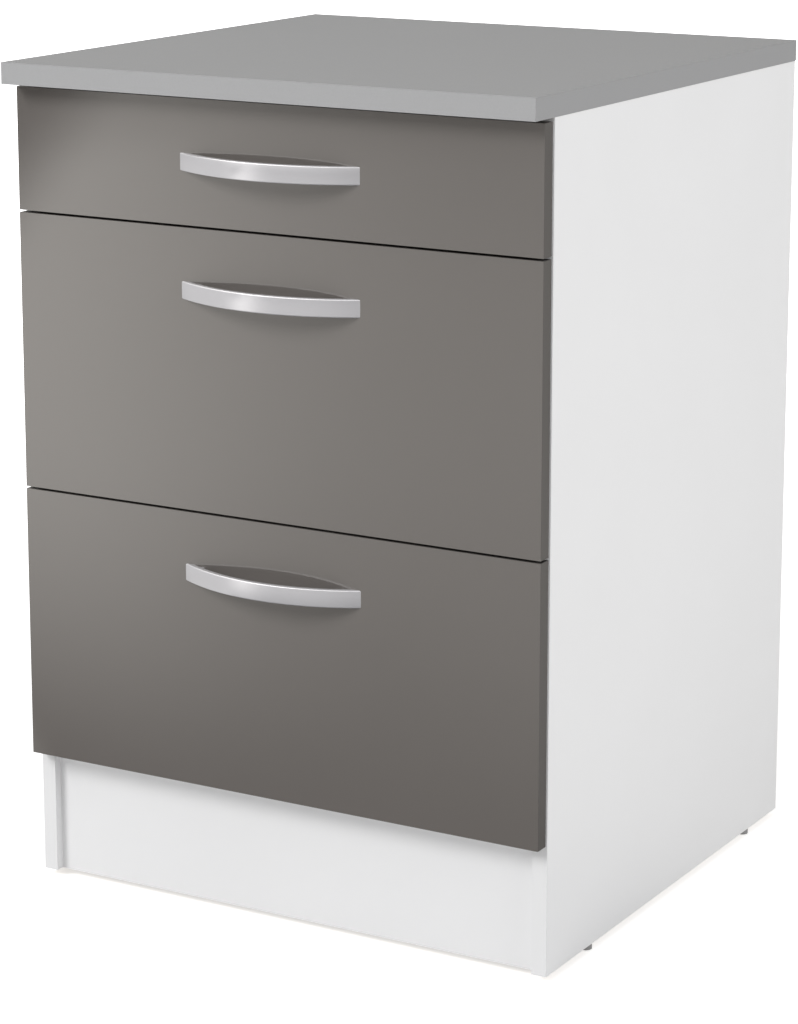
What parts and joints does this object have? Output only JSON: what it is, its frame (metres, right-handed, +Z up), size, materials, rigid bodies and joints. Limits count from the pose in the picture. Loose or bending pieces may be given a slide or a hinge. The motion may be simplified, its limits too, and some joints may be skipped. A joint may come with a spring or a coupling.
{
  "type": "kitchen base cabinet with drawers",
  "caption": "White kitchen base cabinet with a grey worktop, glossy grey drawer fronts, bowed silver handles and drawers on roller runners.",
  "frame": {"origin": "on the floor plane under the middle of the cabinet, at the bottom centre of its bounding box with the drawers closed", "axes": "+Z up; -Y is the front, the way the drawers open; +X to the right for someone who faces the drawers"},
  "size_m": [0.6, 0.6054, 0.867],
  "materials": {
    "white_board": "smooth white melamine facing on chipboard, soft sheen, white edge band",
    "grey_worktop": "plain grey laminate on chipboard, fine texture, low sheen, square edges",
    "grey_gloss_front": "warm grey high-gloss lacquered front, crisp square edges",
    "white_thin_panel": "thin white-faced hardboard",
    "satin_handle": "satin silver strap with softened edges",
    "runner_steel": "pale epoxy-coated bent steel strip",
    "roller_nylon": "moulded white nylon",
    "glide_plastic": "moulded grey plastic",
    "zinc_screw": "bright zinc-plated screw"
  },
  "bodies": {
    "carcass": {"worktop": "grey_worktop", "left_side_panel": "white_board", "right_side_panel": "white_board", "base_panel": "white_board", "front_rail": "white_board", "rear_rail": "white_board", "back_panel": "white_thin_panel", "plinth": "white_board", "floor_glides": "glide_plastic", "bottom_left_cabinet_runner": "runner_steel", "bottom_right_cabinet_runner": "runner_steel", "middle_left_cabinet_runner": "runner_steel", "middle_right_cabinet_runner": "runner_steel", "top_left_cabinet_runner": "runner_steel", "top_right_cabinet_runner": "runner_steel"},
    "bottom_drawer": {"bottom_front": "grey_gloss_front", "bottom_back": "white_board", "bottom_floor": "white_thin_panel", "bottom_handle": "satin_handle", "bottom_handle_screws": "zinc_screw", "bottom_left_side": "white_board", "bottom_left_drawer_runner": "runner_steel", "bottom_right_side": "white_board", "bottom_right_drawer_runner": "runner_steel"},
    "bottom_left_front_roller": {"bottom_left_front_roller": "roller_nylon"},
    "bottom_left_rear_roller": {"bottom_left_rear_roller": "roller_nylon"},
    "bottom_right_front_roller": {"bottom_right_front_roller": "roller_nylon"},
    "bottom_right_rear_roller": {"bottom_right_rear_roller": "roller_nylon"},
    "middle_drawer": {"middle_front": "grey_gloss_front", "middle_back": "white_board", "middle_floor": "white_thin_panel", "middle_handle": "satin_handle", "middle_handle_screws": "zinc_screw", "middle_left_side": "white_board", "middle_left_drawer_runner": "runner_steel", "middle_right_side": "white_board", "middle_right_drawer_runner": "runner_steel"},
    "middle_left_front_roller": {"middle_left_front_roller": "roller_nylon"},
    "middle_left_rear_roller": {"middle_left_rear_roller": "roller_nylon"},
    "middle_right_front_roller": {"middle_right_front_roller": "roller_nylon"},
    "middle_right_rear_roller": {"middle_right_rear_roller": "roller_nylon"},
    "top_drawer": {"top_front": "grey_gloss_front", "top_back": "white_board", "top_floor": "white_thin_panel", "top_handle": "satin_handle", "top_handle_screws": "zinc_screw", "top_left_side": "white_board", "top_left_drawer_runner": "runner_steel", "top_right_side": "white_board", "top_right_drawer_runner": "runner_steel"},
    "top_left_front_roller": {"top_left_front_roller": "roller_nylon"},
    "top_left_rear_roller": {"top_left_rear_roller": "roller_nylon"},
    "top_right_front_roller": {"top_right_front_roller": "roller_nylon"},
    "top_right_rear_roller": {"top_right_rear_roller": "roller_nylon"}
  },
  "joints": [
    {"name": "bottom_drawer_slide", "type": "slide", "parent": "carcass", "child": "bottom_drawer", "axis": [0, -1, 0], "range_m": [0, 0.36]},
    {"name": "middle_drawer_slide", "type": "slide", "parent": "carcass", "child": "middle_drawer", "axis": [0, -1, 0], "range_m": [0, 0.36]},
    {"name": "top_drawer_slide", "type": "slide", "parent": "carcass", "child": "top_drawer", "axis": [0, -1, 0], "range_m": [0, 0.36]},
    {"name": "bottom_left_front_roller_spin", "type": "hinge", "parent": "carcass", "child": "bottom_left_front_roller", "pos_m": [-0.2775, -0.23525, 0.1742], "axis": [1, 0, 0], "continuous": true},
    {"name": "bottom_left_rear_roller_spin", "type": "hinge", "parent": "bottom_drawer", "child": "bottom_left_rear_roller", "pos_m": [-0.2748, 0.22925, 0.1761], "axis": [1, 0, 0], "continuous": true},
    {"name": "bottom_right_front_roller_spin", "type": "hinge", "parent": "carcass", "child": "bottom_right_front_roller", "pos_m": [0.2775, -0.23525, 0.1742], "axis": [1, 0, 0], "continuous": true},
    {"name": "bottom_right_rear_roller_spin", "type": "hinge", "parent": "bottom_drawer", "child": "bottom_right_rear_roller", "pos_m": [0.2748, 0.22925, 0.1761], "axis": [1, 0, 0], "continuous": true},
    {"name": "middle_left_front_roller_spin", "type": "hinge", "parent": "carcass", "child": "middle_left_front_roller", "pos_m": [-0.2775, -0.23525, 0.4617], "axis": [1, 0, 0], "continuous": true},
    {"name": "middle_left_rear_roller_spin", "type": "hinge", "parent": "middle_drawer", "child": "middle_left_rear_roller", "pos_m": [-0.2748, 0.22925, 0.4636], "axis": [1, 0, 0], "continuous": true},
    {"name": "middle_right_front_roller_spin", "type": "hinge", "parent": "carcass", "child": "middle_right_front_roller", "pos_m": [0.2775, -0.23525, 0.4617], "axis": [1, 0, 0], "continuous": true},
    {"name": "middle_right_rear_roller_spin", "type": "hinge", "parent": "middle_drawer", "child": "middle_right_rear_roller", "pos_m": [0.2748, 0.22925, 0.4636], "axis": [1, 0, 0], "continuous": true},
    {"name": "top_left_front_roller_spin", "type": "hinge", "parent": "carcass", "child": "top_left_front_roller", "pos_m": [-0.2775, -0.23525, 0.7492], "axis": [1, 0, 0], "continuous": true},
    {"name": "top_left_rear_roller_spin", "type": "hinge", "parent": "top_drawer", "child": "top_left_rear_roller", "pos_m": [-0.2748, 0.22925, 0.7511], "axis": [1, 0, 0], "continuous": true},
    {"name": "top_right_front_roller_spin", "type": "hinge", "parent": "carcass", "child": "top_right_front_roller", "pos_m": [0.2775, -0.23525, 0.7492], "axis": [1, 0, 0], "continuous": true},
    {"name": "top_right_rear_roller_spin", "type": "hinge", "parent": "top_drawer", "child": "top_right_rear_roller", "pos_m": [0.2748, 0.22925, 0.7511], "axis": [1, 0, 0], "continuous": true}
  ],
  "couplings": [
    {"joint": "bottom_left_front_roller_spin", "follows": "bottom_drawer_slide", "rad_per_m": 113.64},
    {"joint": "bottom_left_rear_roller_spin", "follows": "bottom_drawer_slide", "rad_per_m": 90.909},
    {"joint": "bottom_right_front_roller_spin", "follows": "bottom_drawer_slide", "rad_per_m": 113.64},
    {"joint": "bottom_right_rear_roller_spin", "follows": "bottom_drawer_slide", "rad_per_m": 90.909},
    {"joint": "middle_left_front_roller_spin", "follows": "middle_drawer_slide", "rad_per_m": 113.64},
    {"joint": "middle_left_rear_roller_spin", "follows": "middle_drawer_slide", "rad_per_m": 90.909},
    {"joint": "middle_right_front_roller_spin", "follows": "middle_drawer_slide", "rad_per_m": 113.64},
    {"joint": "middle_right_rear_roller_spin", "follows": "middle_drawer_slide", "rad_per_m": 90.909},
    {"joint": "top_left_front_roller_spin", "follows": "top_drawer_slide", "rad_per_m": 113.64},
    {"joint": "top_left_rear_roller_spin", "follows": "top_drawer_slide", "rad_per_m": 90.909},
    {"joint": "top_right_front_roller_spin", "follows": "top_drawer_slide", "rad_per_m": 113.64},
    {"joint": "top_right_rear_roller_spin", "follows": "top_drawer_slide", "rad_per_m": 90.909}
  ]
}
